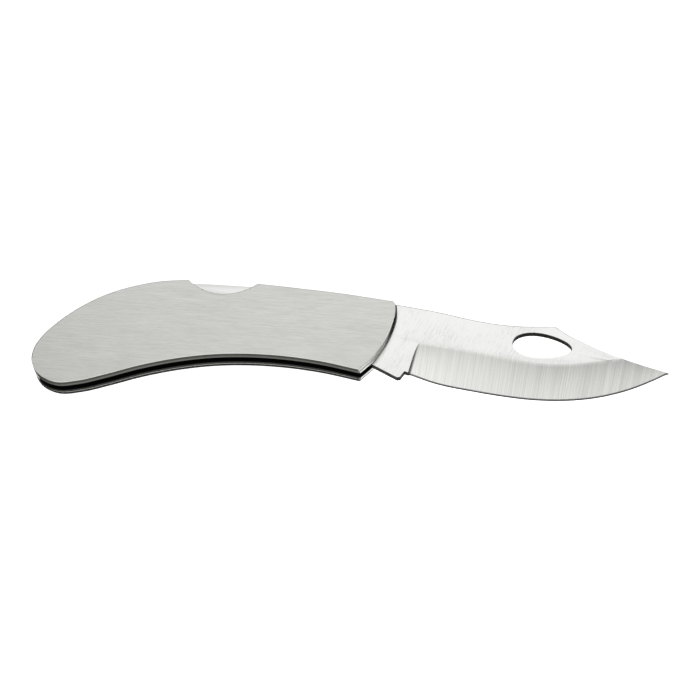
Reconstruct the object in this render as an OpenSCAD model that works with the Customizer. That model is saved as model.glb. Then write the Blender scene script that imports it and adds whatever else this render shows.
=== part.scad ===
// Folding rigging knife with a curved stainless handle and a rocking lock bar in its back.
// It lies open on its rear scale. +X runs to the blade's tip, +Y to the spine and +Z up through the stack.
// The origin is where the blade's pivot axis meets the underside.

/* [Handle] */
// Thickness of each outer scale
scale_t = 1.3; // [1.0:0.1:1.6]
// Thickness of each liner under its scale
liner_t = 0.9; // [0.7:0.1:1.2]
// How far each liner stands ahead of its scale at the front end
liner_ahead = 0.35; // [0:0.05:0.5]
// Radius of the thumb notch in the back of the handle
notch_r = 14.4; // [13:0.2:16]
// How far the spacer stands proud of the scales along the back
spacer_proud = 0.25; // [0:0.05:0.4]

/* [Blade] */
// Thickness of the blade at its spine
blade_t = 2.1; // [1.8:0.1:2.4]
// Thickness left at the cutting edge
edge_t = 0.3; // [0.2:0.05:0.5]
// Depth of the hollow in each ground face
hollow = 0.12; // [0.05:0.01:0.2]
// Length of the egg-shaped hole
hole_l = 16.7; // [12:0.1:17]
// Height of the egg-shaped hole
hole_h = 7.9; // [6:0.1:8]

/* [Pivot] */
// Radius of the blade's pivot pin
pivot_r = 2.0; // [1.6:0.1:2.4]
// Radius of the washers beside the tang
washer_r = 4.6; // [4:0.1:5]
// Thickness of each washer
washer_t = 0.22; // [0.15:0.01:0.3]

/* [Lock] */
// Radius of the pin that the lock bar rocks on
lock_pin_r = 1.25; // [1.0:0.05:1.3]
// Thickness of the leaf spring
spring_t = 0.9; // [0.7:0.1:1.0]
// Gap between the lock bar's nose and the shoulder of the tang
nose_gap = 0.05; // [0.03:0.01:0.1]

/* [Fasteners] */
// Radius of the pins through the spacer
spacer_pin_r = 0.9; // [0.7:0.1:1.0]
// Radius of the blind studs that hold each scale
stud_r = 1.0; // [0.8:0.1:1.2]

/* [Fits] */
// Side play of a moving piece between its neighbours
play = 0.03; // [0.02:0.01:0.05]
// Radial clearance of a running bore
running_fit = 0.05; // [0.02:0.01:0.1]

/* [Hidden] */
$fn = 96;

// Heights of the stack, from the underside up
slot_t = blade_t + 2 * (washer_t + play);
rear_liner_z = scale_t;
slot_z = scale_t + liner_t;
front_liner_z = slot_z + slot_t;
front_scale_z = front_liner_z + liner_t;
slot_mid_z = slot_z + slot_t / 2;
bar_t = slot_t - 2 * play;
spring_w = slot_t - 0.3;

// Pins peened into countersinks in both liners
head_depth = 0.5;
head_flare = 0.8;
small_head_flare = 0.5;
stud_blind = 0.7;

// Places on the handle, measured from the pivot
pivot = [0, 0];
lock_pin = [-24, 11.3];
spring_pin_at = [-71.5, 4.6];
spacer_pin_at = [[-60.8, 11.4], [-80.8, 1.2], [-90.3, -13.2]];
stud_at = [[2.8, 7.6], [-20, -1], [-46, -2], [-68, -7], [-84, -13]];
notch_centre = [-42.15, 24.85];
spring_pin_r = 1.0;
spring_eye_r = 2.0;
eye_pocket_r = 2.3;
leaf_gap = 0.3;

// Outline of the handle: round the belly, butt and back, then down the front end
belly_and_back = [
    [0.1, -11.0], [-11, -9.2], [-21.5, -8.4], [-31.5, -8.5], [-41.5, -9.5], [-51.5, -11.6],
    [-61.5, -14.7], [-71, -18.5], [-78, -21.0], [-84.5, -22.0], [-89.6, -19.9], [-92.4, -15.6],
    [-92.4, -11.4], [-90.9, -7.7], [-87.5, -3.0], [-81.9, 2.6], [-75.5, 7.2], [-68.4, 10.6],
    [-60.4, 13.1], [-52, 14.3], [-42, 14.7], [-31, 14.6], [-20, 14.1], [-8, 13.4], [7.3, 11.95]
];
front_end = [[8.1, 11.2], [8.4, 8.2], [7.85, 4.2], [6.25, -1.2], [3.5, -7]];
front_x = 20;
front_half_y = 25;

// The side of the spacer that faces the blade
well_line = [
    [-57.3, 10.2], [-62, 9.1], [-67.1, 7.3], [-73.7, 4.0], [-79.5, -0.2],
    [-84.9, -5.6], [-87.6, -9.8], [-88.5, -13], [-88.0, -16.2]
];
well_far = 20;

// Outline of the blade, measured from the pivot with the blade open
tang_shoulder = [[-4.2, 7.05], [-3.2, 13.1]];
spine_line = [[8, 12.4], [20, 10.9], [31.5, 8.9], [37, 8.3], [43, 8.1], [53.4, 8.8]];
clip_line = [[53.4, 8.8], [57, 6.5], [61.6, 4.2], [66.2, 2.2], [73.1, -0.2], [79, -1.8]];
tip = [85.8, -3.3];
edge_line = [
    [13.4, -9.3], [21.8, -11.8], [32, -13.3], [40.5, -14.2], [49.5, -14.6],
    [58.5, -14.0], [66.2, -12.5], [74.8, -9.4], [81, -6.1], [88, -1.5]
];
grind_line = [
    [14.8, 0.5], [27.5, -0.7], [38.8, -2.2], [45.5, -3.1], [52, -3.5],
    [59.8, -2.8], [66.6, -1.4], [74, 0.1], [81, 1.2], [88, 2.0]
];
choil = [[12.7, -9.1], [12.2, -9.9], [11.6, -11.0], [10.7, -11.2]];
tang_back = [
    [-2.4, -4.9], [-5.0, -3.3], [-6.2, -0.5], [-6.1, 2.8], [-5.7, 5.6], [-4.2, 7.05]
];
hole_at = [50.3, 2.2];
hole_tilt = -3;
hole_point = 0.2;
hole_sides = 40;

// Where along a ground face the hollow is deepest, as a share of its width from the edge
hollow_at = 0.45;
grind_steps = 4;
outline_steps = 8;
past = 1;

// Underside of the lock bar, from the nose back to the tail
bar_under = [
    [-12.3, 9.8], [-13.6, 9.8], [-16, 9.0], [-28, 9.0], [-34, 9.8], [-50, 9.8], [-50.6, 10.5], [-57, 10.5]
];
bar_nose_y = 7.4;
bar_top_y = 18;

// Centre line of the leaf spring, from its eye to its tip under the lock bar's tail
spring_line = [[-70.8, 6.1], [-66.2, 6.6], [-60, 8.4], [-55, 9.7], [-51.2, 10]];

// A smooth curve through every control point, with the given steps between two of them
function chord(p, i) = norm(p[i + 1] - p[i]);
function direction(p, i) = (p[i + 1] - p[i]) / chord(p, i);
function slope(p, i) =
    i == 0 ? direction(p, 0) :
    i == len(p) - 1 ? direction(p, i - 1) :
    (direction(p, i - 1) * chord(p, i) + direction(p, i) * chord(p, i - 1))
        / (chord(p, i - 1) + chord(p, i));
function hermite(a, b, from_a, into_b, t) =
    (2 * pow(t, 3) - 3 * pow(t, 2) + 1) * a + (pow(t, 3) - 2 * pow(t, 2) + t) * from_a
    + (3 * pow(t, 2) - 2 * pow(t, 3)) * b + (pow(t, 3) - pow(t, 2)) * into_b;
function smooth(p, steps) = [
    for (i = [0:len(p) - 2]) for (k = [0:steps - 1])
        hermite(p[i], p[i + 1], slope(p, i) * chord(p, i), slope(p, i + 1) * chord(p, i), k / steps),
    p[len(p) - 1]
];
function reversed(p) = [for (i = [len(p) - 1:-1:0]) p[i]];

// Points at a distance to the left of a line, for a strip of even thickness
function left_of(p, d) = [
    for (i = [0:len(p) - 1])
        let (along = slope(p, i)) p[i] + d * [-along[1], along[0]] / norm(along)
];

// The egg-shaped hole, rounder towards the handle and more pointed towards the tip
function egg(l, h) = [
    for (i = [0:hole_sides - 1])
        let (a = 360 * i / hole_sides)
        [l / 2 * cos(a), h / 2 * sin(a) * (1 - hole_point * cos(a))]
];

// Joins rings of equal length into one closed solid
module loft(rings) {
    n = len(rings[0]);
    last = (len(rings) - 1) * n;
    points = [for (ring = rings) each ring];
    walls = [
        for (i = [0:len(rings) - 2]) for (k = [0:n - 1])
            let (a = i * n + k, b = i * n + (k + 1) % n)
            each [[a, b, b + n], [a, b + n, a + n]]
    ];
    first_cap = [for (k = [n - 1:-1:0]) k];
    last_cap = [for (k = [0:n - 1]) last + k];
    polyhedron(points = points, faces = concat([first_cap], walls, [last_cap]), convexity = 8);
}

module at(p) {
    translate([p[0], p[1], 0]) children();
}

module handle_outline() {
    polygon(concat(smooth(belly_and_back, outline_steps), smooth(front_end, outline_steps)));
}

// The handle's outline with its front end moved ahead
module longer_outline(ahead) {
    handle_outline();
    intersection() {
        translate([ahead, 0]) handle_outline();
        translate([0, -front_half_y]) square([front_x, 2 * front_half_y]);
    }
}

// A plate of the handle's outline with the thumb notch in its back
module handle_plate(z, t, ahead) {
    translate([0, 0, z]) difference() {
        linear_extrude(t) longer_outline(ahead);
        at(notch_centre) translate([0, 0, -past]) cylinder(r = notch_r, h = t + 2 * past);
    }
}

// A straight pin through both liners with a flared head set flush in each
module liner_pin(r, flare) {
    top = front_liner_z + liner_t;
    translate([0, 0, rear_liner_z]) cylinder(r = r, h = top - rear_liner_z);
    translate([0, 0, rear_liner_z]) cylinder(r1 = r + flare, r2 = r, h = head_depth);
    translate([0, 0, top - head_depth]) cylinder(r1 = r, r2 = r + flare, h = head_depth);
}

module all_liner_pins() {
    at(pivot) liner_pin(pivot_r, head_flare);
    at(lock_pin) liner_pin(lock_pin_r, small_head_flare);
    at(spring_pin_at) liner_pin(spring_pin_r, small_head_flare);
    for (p = spacer_pin_at) at(p) liner_pin(spacer_pin_r, small_head_flare);
}

// Studs that stand blind in a scale and end flush with the liner's inner face
module studs(z) {
    for (p = stud_at) at(p) translate([0, 0, z]) cylinder(r = stud_r, h = stud_blind + liner_t);
}

module front_scale() {
    color("silver") difference() {
        handle_plate(front_scale_z, scale_t, 0);
        studs(front_liner_z);
    }
}

module rear_scale() {
    color("silver") difference() {
        handle_plate(0, scale_t, 0);
        studs(slot_z - liner_t - stud_blind);
    }
}

module liner(z) {
    difference() {
        handle_plate(z, liner_t, liner_ahead);
        all_liner_pins();
        for (p = stud_at) at(p) translate([0, 0, z - past]) cylinder(r = stud_r, h = liner_t + 2 * past);
    }
}

module front_liner() {
    color("gainsboro") liner(front_liner_z);
}

module rear_liner() {
    color("gainsboro") liner(rear_liner_z);
}

module blade_outline() {
    edge = [for (p = reversed(smooth(edge_line, outline_steps))) if (p[0] < tip[0] - 0.5) p];
    polygon(concat(
        [tang_shoulder[1]], smooth(spine_line, outline_steps), smooth(clip_line, outline_steps),
        [tip], edge, choil, smooth(tang_back, outline_steps)
    ));
}

// What the wheel takes off one face of the blade, from the grind line out past the edge
module grind_cut() {
    top = smooth(grind_line, grind_steps);
    edge = smooth(edge_line, grind_steps);
    outside_z = blade_t / 2 + past;
    rings = [
        for (i = [0:len(top) - 1])
            let (
                across = edge[i] - top[i],
                beyond = edge[i] + past * across / norm(across),
                middle = edge[i] - hollow_at * across,
                flat_z = edge_t / 2 + hollow_at * (blade_t - edge_t) / 2,
                fall = (flat_z - hollow - edge_t / 2) / (hollow_at * norm(across))
            )
            [
                [top[i][0], top[i][1], outside_z],
                [top[i][0], top[i][1], blade_t / 2],
                [middle[0], middle[1], flat_z - hollow],
                [beyond[0], beyond[1], edge_t / 2 - fall * past],
                [beyond[0], beyond[1], outside_z]
            ]
    ];
    loft(rings);
}

module blade() {
    color("whitesmoke") translate([0, 0, slot_mid_z]) difference() {
        translate([0, 0, -blade_t / 2]) linear_extrude(blade_t) blade_outline();
        grind_cut();
        mirror([0, 0, 1]) grind_cut();
        at(hole_at) rotate(hole_tilt) translate([0, 0, -blade_t]) linear_extrude(2 * blade_t)
            polygon(egg(hole_l, hole_h));
        at(pivot) translate([0, 0, -blade_t]) cylinder(r = pivot_r + running_fit, h = 2 * blade_t);
    }
}

module blade_pivot_pin() {
    color("lightgray") at(pivot) liner_pin(pivot_r, head_flare);
}

module washer(z) {
    color("peru") translate([0, 0, z]) difference() {
        at(pivot) cylinder(r = washer_r, h = washer_t);
        at(pivot) translate([0, 0, -past]) cylinder(r = pivot_r + running_fit, h = washer_t + 2 * past);
    }
}

module front_washer() {
    washer(front_liner_z - washer_t);
}

module rear_washer() {
    washer(slot_z);
}

// The nose stands in front of the tang's shoulder line, and the back follows the handle's outline
module lock_bar_outline() {
    lean = (tang_shoulder[1] - tang_shoulder[0])[0] / (tang_shoulder[1] - tang_shoulder[0])[1];
    nose_x = tang_shoulder[0][0] - nose_gap - lean * tang_shoulder[0][1];
    tail_x = bar_under[len(bar_under) - 1][0];
    intersection() {
        handle_outline();
        polygon(concat(
            [[nose_x + lean * bar_top_y, bar_top_y], [nose_x + lean * bar_nose_y, bar_nose_y]],
            bar_under, [[tail_x, bar_top_y]]
        ));
    }
}

module lock_bar() {
    color("whitesmoke") difference() {
        translate([0, 0, slot_mid_z - bar_t / 2]) linear_extrude(bar_t) lock_bar_outline();
        at(lock_pin) cylinder(r = lock_pin_r + running_fit, h = front_scale_z);
    }
}

module lock_bar_pin() {
    color("lightgray") at(lock_pin) liner_pin(lock_pin_r, small_head_flare);
}

module leaf_outline(half_t) {
    leaf = smooth(spring_line, outline_steps);
    polygon(concat(left_of(leaf, half_t), reversed(left_of(leaf, -half_t))));
}

// A leaf with an eye at its fixed end
module lock_spring() {
    color("slategray") translate([0, 0, slot_mid_z - spring_w / 2]) difference() {
        union() {
            linear_extrude(spring_w) leaf_outline(spring_t / 2);
            at(spring_pin_at) cylinder(r = spring_eye_r, h = spring_w);
        }
        at(spring_pin_at) translate([0, 0, -past]) cylinder(r = spring_pin_r, h = spring_w + 2 * past);
    }
}

module spring_pin() {
    color("lightgray") at(spring_pin_at) liner_pin(spring_pin_r, small_head_flare);
}

// The part of the handle's outline that lies outside the blade's well
module spacer_outline() {
    well = smooth(well_line, outline_steps);
    start = well_line[0];
    intersection() {
        translate([-spacer_proud / 2, spacer_proud]) handle_outline();
        polygon(concat(
            [[start[0], well_far]], well,
            [[-91, -21], [-100, -24], [-100, well_far]]
        ));
    }
}

module back_spacer() {
    color("gainsboro") difference() {
        translate([0, 0, slot_z]) linear_extrude(slot_t) spacer_outline();
        at(spring_pin_at) cylinder(r = eye_pocket_r, h = front_scale_z);
        linear_extrude(front_scale_z) leaf_outline(spring_t / 2 + leaf_gap);
        for (p = spacer_pin_at) at(p) cylinder(r = spacer_pin_r, h = front_scale_z);
    }
}

module spacer_pins() {
    color("lightgray") for (p = spacer_pin_at) at(p) liner_pin(spacer_pin_r, small_head_flare);
}

module front_scale_studs() {
    color("darkgray") studs(front_liner_z);
}

module rear_scale_studs() {
    color("darkgray") studs(slot_z - liner_t - stud_blind);
}

front_scale();
rear_scale();
front_liner();
rear_liner();
blade();
blade_pivot_pin();
front_washer();
rear_washer();
lock_bar();
lock_bar_pin();
lock_spring();
spring_pin();
back_spacer();
spacer_pins();
front_scale_studs();
rear_scale_studs();
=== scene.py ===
import math

import bmesh
import bpy
from mathutils import Matrix, Vector


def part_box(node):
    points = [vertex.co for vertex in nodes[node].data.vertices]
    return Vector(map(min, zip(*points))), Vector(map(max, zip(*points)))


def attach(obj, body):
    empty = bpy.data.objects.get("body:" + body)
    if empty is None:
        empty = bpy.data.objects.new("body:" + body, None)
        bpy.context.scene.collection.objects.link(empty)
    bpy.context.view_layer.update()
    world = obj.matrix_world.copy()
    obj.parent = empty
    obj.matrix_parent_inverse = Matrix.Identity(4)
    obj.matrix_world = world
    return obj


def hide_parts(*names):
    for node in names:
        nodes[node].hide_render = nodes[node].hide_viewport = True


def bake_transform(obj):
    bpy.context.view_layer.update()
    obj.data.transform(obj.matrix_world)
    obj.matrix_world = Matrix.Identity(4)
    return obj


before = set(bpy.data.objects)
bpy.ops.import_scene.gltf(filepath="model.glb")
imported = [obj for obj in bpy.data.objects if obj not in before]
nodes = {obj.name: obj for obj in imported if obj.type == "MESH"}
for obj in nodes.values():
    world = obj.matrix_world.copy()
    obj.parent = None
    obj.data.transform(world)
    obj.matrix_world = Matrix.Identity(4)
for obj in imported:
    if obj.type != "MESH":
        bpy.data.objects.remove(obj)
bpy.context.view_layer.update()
mm = 0.001
noiseMiddle = 0.5
noiseRoughness = 0.6
print("frame loaded:", len(nodes), "nodes")


class Flow:
    # a shader socket that can be added, multiplied and so on
    def __init__(self, finish, socket):
        self.finish = finish
        self.socket = socket

    def maths(self, operation, first, second):
        return self.finish.node("ShaderNodeMath", {"operation": operation}, {0: first, 1: second})

    def __add__(self, other):
        return self.maths("ADD", self, other)

    def __sub__(self, other):
        return self.maths("SUBTRACT", self, other)

    def __rsub__(self, other):
        return self.maths("SUBTRACT", other, self)

    def __mul__(self, other):
        return self.maths("MULTIPLY", self, other)

    def __pow__(self, other):
        return self.maths("POWER", self, other)

    def swing(self, weight):
        # how far a noise is from its middle, times weight
        return (self - noiseMiddle) * weight

    __radd__ = __add__
    __rmul__ = __mul__


class Finish:
    # a material in the making, or the sky
    def __init__(self, name, sky=None):
        self.material = sky or bpy.data.materials.new(name)
        self.material.use_nodes = True
        self.tree = self.material.node_tree
        self.tree.nodes.clear()

    def node(self, kind, settings=None, inputs=None, output=0):
        made = self.tree.nodes.new(kind)
        for setting, value in (settings or {}).items():
            setattr(made, setting, value)
        for socket, value in (inputs or {}).items():
            if isinstance(value, Flow):
                self.tree.links.new(value.socket, made.inputs[socket])
            else:
                made.inputs[socket].default_value = value
        return Flow(self, made.outputs[output]) if len(made.outputs) else made

    def place(self):
        return self.node("ShaderNodeTexCoord", output="Object")

    def part(self, vector, axis):
        # one of x, y and z, as axis 0, 1 or 2
        return self.node("ShaderNodeSeparateXYZ", None, {0: vector}, axis)

    def grain(self, repeats, detail=2.0, turn=0.0, lean=0.0):
        # noise with so many repeats per metre along x, y and z, turned about z;
        # lean slides x along with y
        where = self.place()
        if lean != 0:
            x, y, z = (self.part(where, axis) for axis in range(3))
            where = self.node("ShaderNodeCombineXYZ", None, {0: x + y * lean, 1: y, 2: z})
        where = self.node("ShaderNodeMapping", {"vector_type": "TEXTURE"}, {
            "Vector": where, "Rotation": (0, 0, turn), "Scale": tuple(1 / r for r in repeats)})
        return self.node("ShaderNodeTexNoise", None, {
            "Vector": where, "Scale": 1.0, "Detail": detail, "Roughness": noiseRoughness})

    def spread(self, value, low, high):
        return self.node("ShaderNodeMapRange", {"interpolation_type": "SMOOTHSTEP"}, {
            "Value": value, "From Min": low, "From Max": high})

    def blendColours(self, factor, dark, light):
        return self.node("ShaderNodeMix", {"data_type": "RGBA"}, {0: factor, 6: dark, 7: light}, 2)

    def blendGreys(self, factor, look):
        # between the dark and the light tone of a look
        return self.blendColours(
            factor, grey(look["dark"], look["warmth"]), grey(look["light"], look["warmth"]))

    def metal(self, colour, roughness, height=None, depth=0.0, rimTint=1.0, metallic=1.0):
        # rimTint below 1 darkens the reflection where a surface is seen at a slant: painted shade
        # on walls
        inputs = {
            "Base Color": colour, "Roughness": roughness, "Metallic": metallic,
            "Specular Tint": grey(rimTint)}
        if height is not None:
            inputs["Normal"] = self.node("ShaderNodeBump", None, {
                "Strength": 1.0, "Distance": depth, "Height": height})
        return self.node("ShaderNodeBsdfPrincipled", None, inputs)

    def close(self, *look):
        return self.show(self.metal(*look))

    def show(self, shader):
        self.node("ShaderNodeOutputMaterial", None, {"Surface": shader})
        return self.material


def grey(tone, warmth=0.0):
    # a steel grey; warmth takes a little blue away
    return (tone, tone, tone * (1 - warmth), 1)


# each finish has its numbers above it; repeats are per metre, along x, y and z
satinLook = {
    "dark": 0.53, "light": 0.91, "warmth": 0.045,
    "streaks": (130, 2600, 2600), "streakWeight": 0.7, "streakHeight": 0.4,  # along the handle
    "hairs": (420, 9000, 9000), "hairWeight": 0.9, "hairHeight": 0.6,
    "clouds": (90, 260, 200), "cloudWeight": 0.45,
    "roughness": 0.34, "hairRoughness": 0.10, "cloudRoughness": 0.06,
    "depth": 0.003 * mm,
}


def satinFinish():
    look = satinLook
    f = Finish("satinScale")
    streaks = f.grain(look["streaks"], 3)
    hairs = f.grain(look["hairs"], 2)
    clouds = f.grain(look["clouds"], 3)
    mix = noiseMiddle + streaks.swing(look["streakWeight"])
    mix = mix + hairs.swing(look["hairWeight"]) + clouds.swing(look["cloudWeight"])
    colour = f.blendGreys(mix, look)
    roughness = look["roughness"] + hairs.swing(look["hairRoughness"])
    roughness = roughness + clouds.swing(look["cloudRoughness"])
    height = hairs * look["hairHeight"] + streaks * look["streakHeight"]
    return f.close(colour, roughness, height, look["depth"])


sheetEdgeLook = {
    "drag": (2600, 2600, 260), "dragWeight": 0.7, "dragRoughness": 0.12,
    "clouds": (120, 120, 300), "cloudWeight": 0.6,
    "warmth": 0.07, "depth": 0.006 * mm, "rimTint": 0.3,
}


def sheetEdgeFinish(name, dark, light, roughness):
    # the blanked edge of a sheet: short upright drag marks on a dark tone that is painted shade
    look = sheetEdgeLook
    f = Finish(name)
    drag = f.grain(look["drag"], 3)
    clouds = f.grain(look["clouds"], 2)
    mix = noiseMiddle + drag.swing(look["dragWeight"]) + clouds.swing(look["cloudWeight"])
    colour = f.blendColours(mix, grey(dark, look["warmth"]), grey(light, look["warmth"]))
    roughness = roughness + drag.swing(look["dragRoughness"])
    return f.close(colour, roughness, drag, look["depth"], look["rimTint"])


frontEndLook = {
    "drag": (2600, 2600, 260), "dragRoughness": 0.12, "depth": 0.004 * mm,
    "shadedDark": 0.03, "shadedLight": 0.07, "shadedWarmth": 0.06, "shadedTint": 0.2, "shadedRoughness": 0.34,
    "brightWarmth": 0.04, "brightRoughness": 0.50, "brightMetallic": 0.3,  # lower metallic spreads the painted highlight
    "cornerTurn": (0.48, 0.66),  # how far the wall faces -Y at the belly corner
    "dragShows": (0.35, 0.9), "dragMix": 0.5, "dragTone": 0.3,
}


def frontEndFinish(name, light, lowLight, startTurn, endTurn):
    # painted light: a dark shaded copy of the steel near the back, and a painted highlight where
    # the wall turns to the belly
    look = frontEndLook
    f = Finish(name)
    facing = 0 - f.part(f.node("ShaderNodeTexCoord", output="Normal"), 1)
    drag = f.grain(look["drag"], 3)
    rough = drag.swing(look["dragRoughness"])
    shadedTone = f.blendColours(
        drag,
        grey(look["shadedDark"], look["shadedWarmth"]), grey(look["shadedLight"], look["shadedWarmth"]))
    shadedWall = f.metal(shadedTone, look["shadedRoughness"] + rough, drag, look["depth"], look["shadedTint"])
    litTone = f.blendColours(
        f.spread(facing, *look["cornerTurn"]),
        grey(light, look["brightWarmth"]), grey(lowLight, look["brightWarmth"]))
    litTone = f.blendColours(
        f.spread(drag, *look["dragShows"]) * look["dragMix"],
        litTone, grey(light * look["dragTone"], look["shadedWarmth"]))
    bright = f.metal(
        litTone, look["brightRoughness"] + rough, drag, look["depth"],
        metallic=look["brightMetallic"])
    turned = f.spread(facing, startTurn, endTurn)
    return f.show(f.node("ShaderNodeMixShader", None, {0: turned, 1: shadedWall, 2: bright}))


linerStepLook = {
    "dark": 0.06, "light": 0.72, "darkWarmth": 0.05, "lightWarmth": 0.04,
    "litFrom": -2.5 * mm, "litTo": 2 * mm,  # towards the belly
    "drag": (400, 2600, 2600), "dragShows": (0.35, 0.9), "dragMix": 0.3, "dragTone": 0.2,
    "roughness": 0.36, "dragRoughness": 0.12, "depth": 0.003 * mm,
}


def linerStepFinish():
    # the liner's ledge ahead of the scale: painted shade near the back, a painted highlight towards
    # the belly
    look = linerStepLook
    f = Finish("linerStep")
    litShare = f.spread(0 - f.part(f.place(), 1), look["litFrom"], look["litTo"])
    drag = f.grain(look["drag"], 3)
    colour = f.blendColours(
        litShare, grey(look["dark"], look["darkWarmth"]), grey(look["light"], look["lightWarmth"]))
    colour = f.blendColours(
        f.spread(drag, *look["dragShows"]) * look["dragMix"],
        colour, grey(look["dragTone"], look["darkWarmth"]))
    roughness = look["roughness"] + drag.swing(look["dragRoughness"])
    return f.close(colour, roughness, drag, look["depth"])


polishedLook = {
    "dark": 0.64, "light": 0.96, "warmth": 0.02,
    "scratches": (450, 7500, 7500), "scratchTurn": math.radians(66), "scratchShows": (0.5, 0.75),
    "bands": (150, 1700, 1700), "bandShows": (0.48, 0.72), "bandWeight": 0.4,
    # scratches gather where the clouds are thick
    "clouds": (75, 75, 75), "cloudShows": (0.42, 0.66), "leastWorn": 0.25,
    "tone": 0.9, "markWeight": 0.5,
    "roughness": 0.26, "markRoughness": 0.10, "cloudRoughness": 0.05,
    "depth": -0.002 * mm,
}


def polishedFinish():
    look = polishedLook
    f = Finish("polishedFlat")
    scratches = f.grain(look["scratches"], 2, look["scratchTurn"])
    bands = f.grain(look["bands"], 3, look["scratchTurn"])
    clouds = f.grain(look["clouds"], 3)
    worn = look["leastWorn"] + f.spread(clouds, *look["cloudShows"]) * (1 - look["leastWorn"])
    marks = f.spread(scratches, *look["scratchShows"])
    marks = (marks + f.spread(bands, *look["bandShows"]) * look["bandWeight"]) * worn
    mix = look["tone"] - marks * look["markWeight"]
    colour = f.blendGreys(mix, look)
    roughness = look["roughness"] + marks * look["markRoughness"]
    roughness = roughness + clouds.swing(look["cloudRoughness"])
    return f.close(colour, roughness, marks, look["depth"])


groundLook = {
    "dark": 0.60, "light": 1.0, "warmth": 0.03,
    "lines": (2100, 24, 24), "lineWeight": 0.9, "lineHeight": 0.6,
    "fineLines": (4800, 50, 50), "fineWeight": 0.9, "fineHeight": 0.4,
    "bands": (380, 18, 18), "bandWeight": 0.06, "bandGrowth": 0.5,  # bands show more at the point
    "lean": -0.05, "leanPoint": -0.16,  # of the wheel marks at the heel, and more at the point
    "heel": 12 * mm, "point": 84 * mm,
    "toneHeel": 0.89, "fade": 0.64, "fadePower": 0.6,  # painted shade: the bevel gets darker towards the point
    "plungeShade": 0.1, "steep": 0.55, "level": 0.96,  # painted shade on steep faces in the corner of the plunge
    "roughness": 0.26, "lineRoughness": 0.12, "depth": 0.004 * mm,
}


def groundFinish():
    # wheel marks straight across the bevel, with painted shade towards the point and in the plunge
    look = groundLook
    f = Finish("groundBevel")
    along = f.node("ShaderNodeMapRange", None, {
        "Value": f.part(f.place(), 0), "From Min": look["heel"], "From Max": look["point"]})
    lean = look["lean"] + along * along * (look["leanPoint"] - look["lean"])
    lines = f.grain(look["lines"], 3, lean=lean)
    fineLines = f.grain(look["fineLines"], 2, lean=lean)
    bands = f.grain(look["bands"], 2, lean=lean)
    # painted shade: darker along x towards the point
    mix = look["toneHeel"] - along ** look["fadePower"] * look["fade"]
    mix = mix + lines.swing(look["lineWeight"]) + fineLines.swing(look["fineWeight"])
    mix = mix + bands.swing(look["bandWeight"] + along * look["bandGrowth"])
    colour = f.blendGreys(mix, look)
    # painted shade on the steep faces of the plunge
    upright = f.part(f.node("ShaderNodeTexCoord", output="Normal"), 2)
    level = f.spread(upright * upright, look["steep"], look["level"])
    colour = f.blendColours(level, grey(look["plungeShade"]), colour)
    roughness = look["roughness"] + lines.swing(look["lineRoughness"])
    height = lines * look["lineHeight"] + fineLines * look["fineHeight"]
    return f.close(colour, roughness, height, look["depth"])


plainLook = {"clouds": (240, 240, 240), "cloudWeight": 0.6, "markWeight": 0.9, "markRoughness": 0.1}


def plainSteel(
        name, tone, roughness, repeats, warmth=0.03, contrast=0.12, depth=0.003 * mm, rimTint=1.0):
    # turned, rolled or drawn steel: fine marks along one way and faint clouds
    look = plainLook
    f = Finish(name)
    marks = f.grain(repeats, 3)
    clouds = f.grain(look["clouds"], 2)
    mix = noiseMiddle + marks.swing(look["markWeight"]) + clouds.swing(look["cloudWeight"])
    colour = f.blendColours(
        mix, grey(tone * (1 - contrast), warmth), grey(min(1.0, tone * (1 + contrast)), warmth))
    return f.close(colour, roughness + marks.swing(look["markRoughness"]), marks, depth, rimTint)


colouredLook = {
    "clouds": (300, 300, 300), "cloudWeight": 0.8, "markWeight": 0.7, "cloudRoughness": 0.12,
    "depth": 0.002 * mm,
}


def colouredMetal(name, dark, light, roughness, repeats):
    # blued spring steel and rolled bronze, mottled between two colours
    look = colouredLook
    f = Finish(name)
    marks = f.grain(repeats, 3)
    clouds = f.grain(look["clouds"], 3)
    mix = noiseMiddle + marks.swing(look["markWeight"]) + clouds.swing(look["cloudWeight"])
    roughness = roughness + clouds.swing(look["cloudRoughness"])
    return f.close(f.blendColours(mix, dark, light), roughness, marks, look["depth"])
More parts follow.
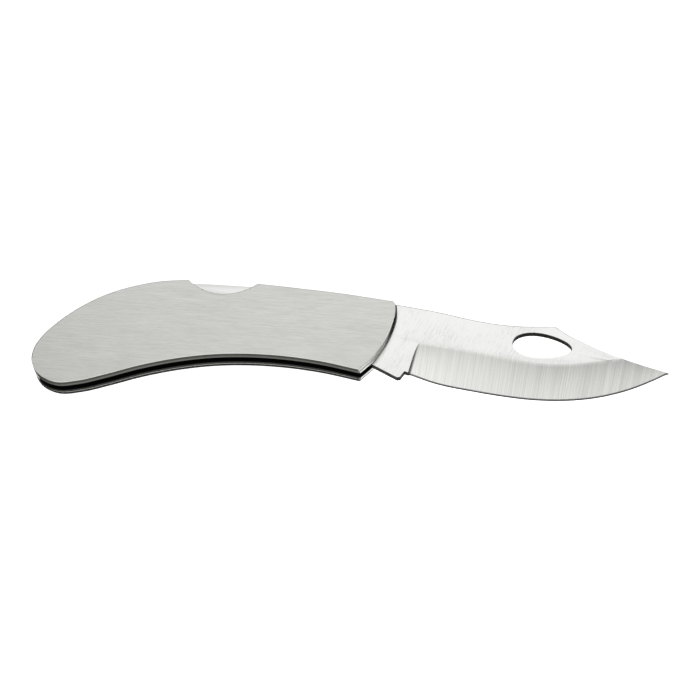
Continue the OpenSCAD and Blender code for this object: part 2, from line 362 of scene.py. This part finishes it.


# sheet edges: darkest tone, lightest tone, roughness
# front ends: tone, tone at the belly corner, and how far the wall faces -Y where the painted
# highlight starts and ends
# plain steel: tone, roughness, repeats of its marks
finishes = {
    "satin": satinFinish(),
    # the sheet edges' dark tones are painted shade, darker still on the rear plates
    "scaleEdge": sheetEdgeFinish("scaleEdge", 0.055, 0.12, 0.42),
    "linerEdge": sheetEdgeFinish("linerEdge", 0.12, 0.19, 0.36),
    "rearScaleEdge": sheetEdgeFinish("rearScaleEdge", 0.03, 0.055, 0.42),
    "rearLinerEdge": sheetEdgeFinish("rearLinerEdge", 0.04, 0.075, 0.36),
    "scaleFront": frontEndFinish("scaleFrontEnd", 0.96, 0.90, 0.17, 0.32),
    "linerFront": frontEndFinish("linerFrontEnd", 0.85, 0.96, 0.24, 0.44),
    "linerStep": linerStepFinish(),
    # the rear front ends are darker copies: painted shade
    "rearScaleFront": frontEndFinish("rearScaleFrontEnd", 0.40, 0.40, 0.14, 0.30),
    "rearLinerFront": frontEndFinish("rearLinerFrontEnd", 0.80, 0.80, 0.14, 0.30),
    # rimBright is a painted highlight on rims facing the belly and front; backRim is painted shade
    "rimBright": plainSteel("rimBright", 0.85, 0.3, (1500, 1500, 1500), 0.03, 0.08),
    "backRim": plainSteel("backRim", 0.03, 0.36, (1500, 1500, 1500), 0.05, rimTint=0.3),
    # linerFace is near black: painted shade on the liners' faces inside the slot
    "linerFace": plainSteel("linerFace", 0.03, 0.5, (300, 3000, 3000)),
    "polished": polishedFinish(),
    "ground": groundFinish(),
    "honed": plainSteel("honedEdge", 0.48, 0.24, (3000, 400, 400), 0.0, 0.06),
    # near-black edge, spine and hole walls: painted shade
    "bladeEdge": plainSteel("bladeEdgeWall", 0.025, 0.35, (3000, 3000, 400), rimTint=0.6),
    "spineWall": plainSteel("bladeSpineWall", 0.06, 0.34, (3000, 3000, 300), rimTint=0.3),
    "holeWall": plainSteel("holeWall", 0.012, 0.4, (1500, 1500, 300), rimTint=0.6),
    "lockSide": plainSteel("lockBarSatin", 0.90, 0.3, (200, 2400, 2400), 0.02, 0.025, 0.001 * mm),
    "lockEdge": plainSteel("lockBarEdge", 0.45, 0.3, (3000, 3000, 500)),
    # a darker steel, partly its own tone and partly painted shade for the slot
    "spacer": plainSteel("spacerSatin", 0.32, 0.32, (2600, 2600, 400)),
    "springBlue": colouredMetal(
        "springBlue", (0.045, 0.055, 0.085, 1), (0.10, 0.12, 0.17, 1), 0.3, (250, 2500, 2500)),
    "pin": plainSteel("peenedPin", 0.55, 0.3, (1800, 1800, 300)),
    "bronze": colouredMetal(
        "rolledBronze", (0.40, 0.22, 0.09, 1), (0.66, 0.42, 0.20, 1), 0.34, (300, 3600, 3600)),
}
print("finishes made:", len(finishes))

levelLean = 0.9    # a face whose normal leans more than this to Z is level
uprightLean = 0.2  # and one that leans less than this is upright
sameHeight = 0.004 * mm
mergeWithin = 0.002 * mm
flatWithin = math.radians(0.2)


def deselectAll():
    if bpy.context.object and bpy.context.object.mode != "OBJECT":
        bpy.ops.object.mode_set(mode="OBJECT")
    bpy.ops.object.select_all(action="DESELECT")


def edit(piece):
    # opens one piece in edit mode with everything on it selected
    deselectAll()
    piece.select_set(True)
    bpy.context.view_layer.objects.active = piece
    bpy.ops.object.mode_set(mode="EDIT")
    bpy.ops.mesh.select_mode(type="VERT")
    bpy.ops.mesh.select_all(action="SELECT")


def selectEdges(piece, wanted):
    # selects the edges for which wanted() is true; the piece is in edit mode
    bpy.ops.mesh.select_mode(type="EDGE")
    bpy.ops.mesh.select_all(action="DESELECT")
    shape = bmesh.from_edit_mesh(piece.data)
    shape.normal_update()
    found = [edge for edge in shape.edges if wanted(edge)]
    for edge in found:
        edge.select_set(True)
    bmesh.update_edit_mesh(piece.data)
    return len(found)


def meltedCopy(nodeName, pieceName):
    # a copy of a CAD node with its loose triangles merged into clean faces
    piece = bpy.data.objects.new(pieceName, nodes[nodeName].data.copy())
    bpy.context.scene.collection.objects.link(piece)
    piece.data.materials.clear()
    edit(piece)
    bpy.ops.mesh.customdata_custom_splitnormals_clear()
    bpy.ops.mesh.remove_doubles(threshold=mergeWithin)
    bpy.ops.mesh.dissolve_limited(angle_limit=flatWithin)
    return piece


def isRim(edge, height):
    # an edge at that height where a level face meets an upright one
    if any(abs(v.co.z - height) > sameHeight for v in edge.verts):
        return False
    leans = sorted(abs(face.normal.z) for face in edge.link_faces)
    return len(leans) == 2 and leans[0] < uprightLean and leans[1] > levelLean


def breakRim(piece, height, width, segments=1, wanted=None):
    # bevels the rim at one height, all of it or where wanted() is true of the upright face
    def chosen(edge):
        if not isRim(edge, height):
            return False
        wall = min(edge.link_faces, key=lambda face: abs(face.normal.z))
        return wanted is None or wanted(wall)

    if selectEdges(piece, chosen):
        bpy.ops.mesh.bevel(offset=width, segments=segments, affect="EDGES", clamp_overlap=False)


def setFinishes(piece, chooser, names):
    # gives each face the finish that chooser() names from its normal
    bpy.ops.object.mode_set(mode="OBJECT")
    for name in names:
        piece.data.materials.append(finishes[name])
    for face in piece.data.polygons:
        face.material_index = names.index(chooser(face.normal))


def finishPiece(piece, body, replaced, smoothAngle=12):
    deselectAll()
    piece.select_set(True)
    bpy.context.view_layer.objects.active = piece
    bpy.ops.object.shade_smooth_by_angle(angle=math.radians(smoothAngle))
    if body:
        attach(piece, body)
    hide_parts(replaced)
    print("piece ready:", piece.name, len(piece.data.polygons), "faces")


# the outer scales
scaleShape = {
    "chamfer": 0.09 * mm,  # along the belly and the front end
    "backRoll": 0.3 * mm, "rollSteps": 3,  # the belt rolls the back's rim over
    "innerBreak": 0.05 * mm,
    "frontFacing": 0.6,    # a wall whose normal leans this far to +X is the front end
    "rimFacing": 0.42,     # and its rim starts here
    "bellyFacing": -0.2,
}


def onBack(wall):
    return wall.normal.y > scaleShape["bellyFacing"] and wall.normal.x < scaleShape["rimFacing"]


def makeScale(nodeName, pieceName, outerFace, innerFace, edge, front):
    def scaleFinish(normal):
        if abs(normal.z) > levelLean:
            return "satin"
        if abs(normal.z) > uprightLean:
            # painted light: rims facing the belly or the front are bright, the others dark
            bright = normal.y < scaleShape["bellyFacing"] or normal.x > scaleShape["rimFacing"]
            return "rimBright" if bright else "backRim"
        return front if normal.x > scaleShape["frontFacing"] else edge

    piece = meltedCopy(nodeName, pieceName)
    breakRim(piece, innerFace, scaleShape["innerBreak"])
    breakRim(piece, outerFace, scaleShape["backRoll"], scaleShape["rollSteps"], onBack)
    breakRim(piece, outerFace, scaleShape["chamfer"], 1, lambda wall: not onBack(wall))
    setFinishes(piece, scaleFinish, ["satin", edge, front, "rimBright", "backRim"])
    finishPiece(piece, "handle", nodeName)


rearLow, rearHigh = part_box("rear_scale")
frontLow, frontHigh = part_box("front_scale")
makeScale("front_scale", "frontScale", frontHigh.z, frontLow.z, "scaleEdge", "scaleFront")
makeScale("rear_scale", "rearScale", rearLow.z, rearHigh.z, "rearScaleEdge", "rearScaleFront")


# the liners, which stand a little ahead of the scales
linerShape = {"edgeBreak": 0.06 * mm}


def makeLiner(nodeName, pieceName, edge, front, outward):
    def linerFinish(normal):
        if abs(normal.z) > levelLean:
            # the face toward the slot takes the near-black painted shade
            return "linerStep" if normal.z * outward > 0 else "linerFace"
        return front if normal.x > scaleShape["rimFacing"] else edge

    low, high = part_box(nodeName)
    piece = meltedCopy(nodeName, pieceName)
    for height in (low.z, high.z):
        breakRim(piece, height, linerShape["edgeBreak"])
    setFinishes(piece, linerFinish, ["linerFace", edge, front, "linerStep"])
    finishPiece(piece, "handle", nodeName)


makeLiner("front_liner", "frontLiner", "linerEdge", "linerFront", 1)
makeLiner("rear_liner", "rearLiner", "rearLinerEdge", "rearLinerFront", -1)


# the blade; places and lengths without mm after them are in millimetres from the pivot
bladeShape = {
    "grindLine": [  # where the bevel meets the flat
        (15.0, 0.5), (27.5, -0.7), (38.8, -2.2), (45.5, -3.1), (52, -3.5),
        (59.8, -2.8), (66.6, -1.4), (74, 0.1), (81, 1.2), (88, 2.0)],
    "edgeLine": [
        (13.6, -9.3), (21.8, -11.8), (32, -13.3), (40.5, -14.2), (49.5, -14.6),
        (58.5, -14.0), (66.2, -12.5), (74.8, -9.4), (81, -6.1), (88, -1.5)],
    "edgeHalf": 0.31,     # half the thickness left at the very edge
    "honedWide": 0.2,     # width of the honed bevel
    "honedHalf": 0.42,    # half the thickness where the honed bevel starts
    "honedWithin": 0.005,
    "hollow": 0.14,       # depth of the wheel's hollow
    "plungeRadius": 1.15,  # of the wheel's corner
    "plungeSteps": 12,
    "firstStretch": 10.7,  # from the first to the second point of the lines, halfway down
    "plungeGap": 1.3,     # the plain steps start this many corner widths on
    "holeLow": (41, -3), "holeHigh": (60, 7),  # the box round the egg-shaped hole
    "boreReach": 3,       # walls this close to the pivot belong to the bore
    "alongSteps": 7,      # between two points of the lines
    "acrossSteps": 12,
    "past": 1.0,          # how far the wheel reaches beyond the edge
    "wheelWide": 3 * mm,  # how far the wheel reaches off the face
    "sliceMerge": 0.003 * mm,
    "spineFacing": 0.1,   # a wall whose normal leans this far to +Y is the spine
    "rimLean": 0.45,      # a broken rim's normal leans more than this to Z
    "rimBreak": 0.05 * mm,
    # the spine's break narrows towards the point: from, to along x, and how wide
    "spineBreaks": [(-10, 50, 0.28), (50, 58, 0.2), (58, 63, 0.14), (63, 67, 0.09)],
}


def pointOn(line, place):
    # a smooth curve through every point of a line, at point number place
    points = [Vector(p) for p in line]
    start = min(int(place), len(points) - 2)
    t = place - start
    chords = [(b - a).length for a, b in zip(points, points[1:])]
    ways = [(b - a).normalized() for a, b in zip(points, points[1:])]

    def slope(i):
        if i in (0, len(points) - 1):
            return ways[min(i, len(ways) - 1)]
        return (ways[i - 1] * chords[i] + ways[i] * chords[i - 1]) / (chords[i - 1] + chords[i])

    leave = slope(start) * chords[start]
    arrive = slope(start + 1) * chords[start]
    return (
        (2 * t ** 3 - 3 * t ** 2 + 1) * points[start] + (t ** 3 - 2 * t ** 2 + t) * leave
        + (3 * t ** 2 - 2 * t ** 3) * points[start + 1] + (t ** 3 - t ** 2) * arrive)


def grindPlaces():
    # places along the blade, close together where the wheel's corner rises
    shape = bladeShape
    reach = shape["plungeRadius"] / shape["firstStretch"]
    rise = [reach * (1 - math.cos(math.pi / 2 * k / shape["plungeSteps"]))
            for k in range(shape["plungeSteps"] + 1)]
    steps = shape["alongSteps"]
    further = [k / steps for k in range(1, (len(shape["grindLine"]) - 1) * steps + 1)]
    return rise + [place for place in further if place > reach * shape["plungeGap"]]


def makeWheelCut(name, side, middle, halfThick):
    # the solid that the wheel takes off one face
    shape = bladeShape
    places = grindPlaces()
    across = shape["acrossSteps"]
    rows = across + 3  # the hollow, the honed bevel and a row past the edge
    bpy.ops.mesh.primitive_grid_add(x_subdivisions=len(places) - 1, y_subdivisions=rows - 1, size=1)
    cut = bpy.context.object
    cut.name = name
    radius = shape["plungeRadius"]
    cornerTop = Vector(shape["grindLine"][0])
    cornerWay = (cornerTop - Vector(shape["edgeLine"][0])).normalized()

    def wheelPoint(place, row):
        top = pointOn(shape["grindLine"], place)
        edge = pointOn(shape["edgeLine"], place)
        wide = (edge - top).length
        down = (edge - top) / wide
        if row <= across:
            share = row / across
            spot = top + down * (wide - shape["honedWide"]) * share
            height = halfThick / mm * (1 - share) + shape["honedHalf"] * share
            height -= 4 * shape["hollow"] * share * (1 - share)
        elif row == across + 1:
            spot, height = edge, shape["edgeHalf"]
        else:
            spot, height = edge + down * shape["past"], shape["edgeHalf"]
        offset = spot - cornerTop
        apart = max(0.0, offset.x * cornerWay.y - offset.y * cornerWay.x)
        if apart < radius:
            height += radius - math.sqrt(radius ** 2 - (radius - apart) ** 2)
        return Vector((spot.x * mm, spot.y * mm, middle + side * height * mm))

    columns = sorted({round(v.co.x, 6) for v in cut.data.vertices})
    lines = sorted({round(v.co.y, 6) for v in cut.data.vertices}, reverse=True)
    columnOf = {x: i for i, x in enumerate(columns)}
    lineOf = {y: i for i, y in enumerate(lines)}
    table = {
        (i, j): wheelPoint(places[i], j) for i in range(len(columns)) for j in range(len(lines))}
    for v in cut.data.vertices:
        v.co = table[columnOf[round(v.co.x, 6)], lineOf[round(v.co.y, 6)]]
    cut.data.materials.append(finishes["ground"])
    cut.data.materials.append(finishes["honed"])
    honedTop = (shape["honedHalf"] + shape["honedWithin"]) * mm
    for face in cut.data.polygons:
        face.material_index = 1 if all(
            abs(cut.data.vertices[v].co.z - middle) < honedTop for v in face.vertices) else 0
    edit(cut)
    bpy.ops.mesh.extrude_region_move(
        TRANSFORM_OT_translate={"value": (0, 0, side * shape["wheelWide"])})
    bpy.ops.mesh.select_all(action="SELECT")
    bpy.ops.mesh.normals_make_consistent(inside=False)
    bpy.ops.object.mode_set(mode="OBJECT")
    return cut


def cutAway(piece, cutter):
    deselectAll()
    bpy.context.view_layer.objects.active = piece
    cutting = piece.modifiers.new("cut", "BOOLEAN")
    cutting.operation = "DIFFERENCE"
    cutting.solver = "EXACT"
    cutting.material_mode = "TRANSFER"
    cutting.object = cutter
    bpy.ops.object.modifier_apply(modifier=cutting.name)
    bpy.data.objects.remove(cutter)


def makeBlade():
    shape = bladeShape
    low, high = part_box("blade")
    middle = (low.z + high.z) / 2
    halfThick = (high.z - low.z) / 2
    # the outline, the egg-shaped hole and the bore, from a slice through the CAD blade
    blade = meltedCopy("blade", "bladeRefined")
    bpy.ops.mesh.select_all(action="SELECT")
    bpy.ops.mesh.bisect(
        plane_co=(0, 0, middle), plane_no=(0, 0, 1), use_fill=False,
        clear_inner=True, clear_outer=True)
    bpy.ops.mesh.select_all(action="SELECT")
    bpy.ops.mesh.remove_doubles(threshold=shape["sliceMerge"])
    bpy.ops.mesh.fill(use_beauty=False)
    bpy.ops.mesh.select_all(action="SELECT")
    bpy.ops.mesh.dissolve_limited(angle_limit=flatWithin)
    bpy.ops.mesh.select_all(action="SELECT")
    bpy.ops.transform.translate(value=(0, 0, -halfThick))
    bpy.ops.mesh.extrude_region_move(TRANSFORM_OT_translate={"value": (0, 0, 2 * halfThick)})
    bpy.ops.mesh.select_all(action="SELECT")
    bpy.ops.mesh.normals_make_consistent(inside=False)
    bpy.ops.object.mode_set(mode="OBJECT")
    slabFinishes = ["polished", "holeWall", "bladeEdge", "spineWall"]
    for name in slabFinishes:
        blade.data.materials.append(finishes[name])
    cutAway(blade, makeWheelCut("frontWheel", 1, middle, halfThick))
    cutAway(blade, makeWheelCut("rearWheel", -1, middle, halfThick))
    holeLow, holeHigh = shape["holeLow"], shape["holeHigh"]
    holeMiddle = (Vector(holeLow) + Vector(holeHigh)) / 2 * mm

    def inHole(normal, spot):
        # a wall near the hole that faces its middle
        near = holeLow[0] < spot.x / mm < holeHigh[0] and holeLow[1] < spot.y / mm < holeHigh[1]
        return near and normal.xy.dot(holeMiddle - spot.xy) > 0

    def onSpine(wall):
        spot = wall.calc_center_median()
        spine = (
            wall.normal.y > shape["spineFacing"] and not inHole(wall.normal, spot)
            and spot.xy.length > shape["boreReach"] * mm)
        return spine and spot.x / mm < shape["spineBreaks"][-1][1]

    def plainWall(wall):
        return not onSpine(wall) and wall.material_index < len(slabFinishes)

    edit(blade)
    for height in (low.z, high.z):
        for start, end, width in shape["spineBreaks"]:
            breakRim(blade, height, width * mm, 1, lambda wall: (
                onSpine(wall) and start <= wall.calc_center_median().x / mm < end))
        breakRim(blade, height, shape["rimBreak"], 1, plainWall)
    bpy.ops.object.mode_set(mode="OBJECT")

    def slabFinish(normal, spot):
        if inHole(normal, spot):
            return "polished" if abs(normal.z) > shape["rimLean"] else "holeWall"
        if normal.y > shape["spineFacing"]:
            return "polished" if abs(normal.z) > levelLean else "spineWall"
        return "polished" if abs(normal.z) > shape["rimLean"] else "bladeEdge"

    wheelFinishes = (finishes["ground"], finishes["honed"])
    wheelMade = [i for i, material in enumerate(blade.data.materials) if material in wheelFinishes]
    for face in blade.data.polygons:
        if face.material_index not in wheelMade:
            face.material_index = slabFinishes.index(slabFinish(face.normal, face.center))
    finishPiece(blade, "blade", "blade")


makeBlade()


# the lock bar, spacer and leaf spring, which lie in the slot
barShape = {
    "edgeBreak": 0.18 * mm, "spacerBreak": 0.12 * mm, "springBreak": 0.1 * mm, "breakSteps": 2,
    "smoothAngle": 28,
    "springRoot": 7 * mm,  # the leaf starts to bend this far from its eye's end
}


def makeSlotPiece(nodeName, pieceName, body, width, faceName, edgeName):
    low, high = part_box(nodeName)
    piece = meltedCopy(nodeName, pieceName)
    for height in (low.z, high.z):
        breakRim(piece, height, width, barShape["breakSteps"])
    setFinishes(
        piece, lambda normal: faceName if abs(normal.z) > levelLean else edgeName,
        list(dict.fromkeys([faceName, edgeName])))
    finishPiece(piece, body, nodeName, barShape["smoothAngle"])
    return piece


makeSlotPiece(
    "lock_bar", "lockBar", "lock", barShape["edgeBreak"], "lockSide", "lockEdge")
makeSlotPiece(
    "back_spacer", "backSpacer", "handle", barShape["spacerBreak"],
    "spacer", "spacer")
spring = makeSlotPiece(
    "lock_spring", "lockSpring", None, barShape["springBreak"],
    "springBlue", "springBlue")
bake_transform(spring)


# the CAD nodes that stay as they are
keptNodes = {
    "blade_pivot_pin": "pin", "lock_bar_pin": "pin", "spring_pin": "pin", "spacer_pins": "pin",
    "front_scale_studs": "pin", "rear_scale_studs": "pin",
    "front_washer": "bronze", "rear_washer": "bronze",
}
for nodeName, finishName in keptNodes.items():
    nodes[nodeName].data.materials.clear()
    nodes[nodeName].data.materials.append(finishes[finishName])
print("CAD nodes finished:", len(keptNodes))


studio = {
    "floorSize": 6.0, "floorDrop": 0.02 * mm, "floorTone": 0.85, "floorGlow": 0.85,
    "floorRoughness": 0.9, "floorShine": 0.1,
    "skyTop": 0.52, "skySide": 0.06, "skyRise": 0.8,
    "boxPlace": (-0.03, 0.55, 0.65), "boxSize": (0.7, 0.7), "boxPower": 0.95,
    "stripPlace": (0.0, -0.85, 0.52), "stripSize": (1.5, 0.5), "stripPower": 2.1,
    "sidePlace": (0.95, 0.2, 0.24), "sideSize": (0.3, 0.3), "sidePower": 0.5,
}


def makeFloor():
    deselectAll()
    bpy.ops.mesh.primitive_plane_add(
        size=studio["floorSize"], location=(0, 0, -studio["floorDrop"]))
    floor = bpy.context.object
    floor.name = "studioFloor"
    f = Finish("paleFloor")
    shader = f.node("ShaderNodeBsdfPrincipled", None, {
        "Base Color": grey(studio["floorTone"]),
        "Roughness": studio["floorRoughness"], "Specular IOR Level": studio["floorShine"],
        "Emission Color": grey(1.0), "Emission Strength": studio["floorGlow"]})
    floor.data.materials.append(f.show(shader))


def makeLights():
    bpy.context.scene.world = bpy.data.worlds.new("studioSky")
    sky = Finish("studioSky", bpy.context.scene.world)
    height = sky.part(sky.node("ShaderNodeTexCoord", output="Generated"), 2)
    strength = sky.node("ShaderNodeMapRange", None, {
        "Value": height, "From Min": 0.0, "From Max": studio["skyRise"],
        "To Min": studio["skySide"], "To Max": studio["skyTop"]})
    glow = sky.node("ShaderNodeBackground", None, {"Strength": strength})
    sky.node("ShaderNodeOutputWorld", None, {"Surface": glow})

    for name in ("box", "strip", "side"):
        bpy.ops.object.light_add(type="AREA", location=studio[name + "Place"])
        light = bpy.context.object
        light.name = name + "Light"
        light.data.shape = "RECTANGLE"
        light.data.size, light.data.size_y = studio[name + "Size"]
        light.data.energy = studio[name + "Power"]
        light.rotation_euler = Vector(studio[name + "Place"]).to_track_quat("Z", "Y").to_euler()


cameraSetup = {
    "target": Vector((-3 * mm, -5 * mm, 7 * mm)),
    "distance": 588.2 * mm,
    "elevation": math.radians(60), "turn": math.radians(12), "roll": math.radians(-6.3),
    "lens": 108, "sensor": 36, "nearest": 0.01,
}


def makeCamera():
    bpy.ops.object.camera_add()
    camera = bpy.context.object
    facing = (
        Matrix.Rotation(cameraSetup["turn"], 4, "Z")
        @ Matrix.Rotation(math.pi / 2 - cameraSetup["elevation"], 4, "X")
        @ Matrix.Rotation(cameraSetup["roll"], 4, "Z"))
    away = facing @ Vector((0, 0, cameraSetup["distance"]))
    camera.matrix_world = Matrix.Translation(cameraSetup["target"] + away) @ facing
    camera.data.lens = cameraSetup["lens"]
    camera.data.sensor_width = cameraSetup["sensor"]
    camera.data.clip_start = cameraSetup["nearest"]
    bpy.context.scene.camera = camera


makeFloor()
makeLights()
makeCamera()
bpy.context.scene.view_settings.view_transform = "Standard"
print("studio ready")
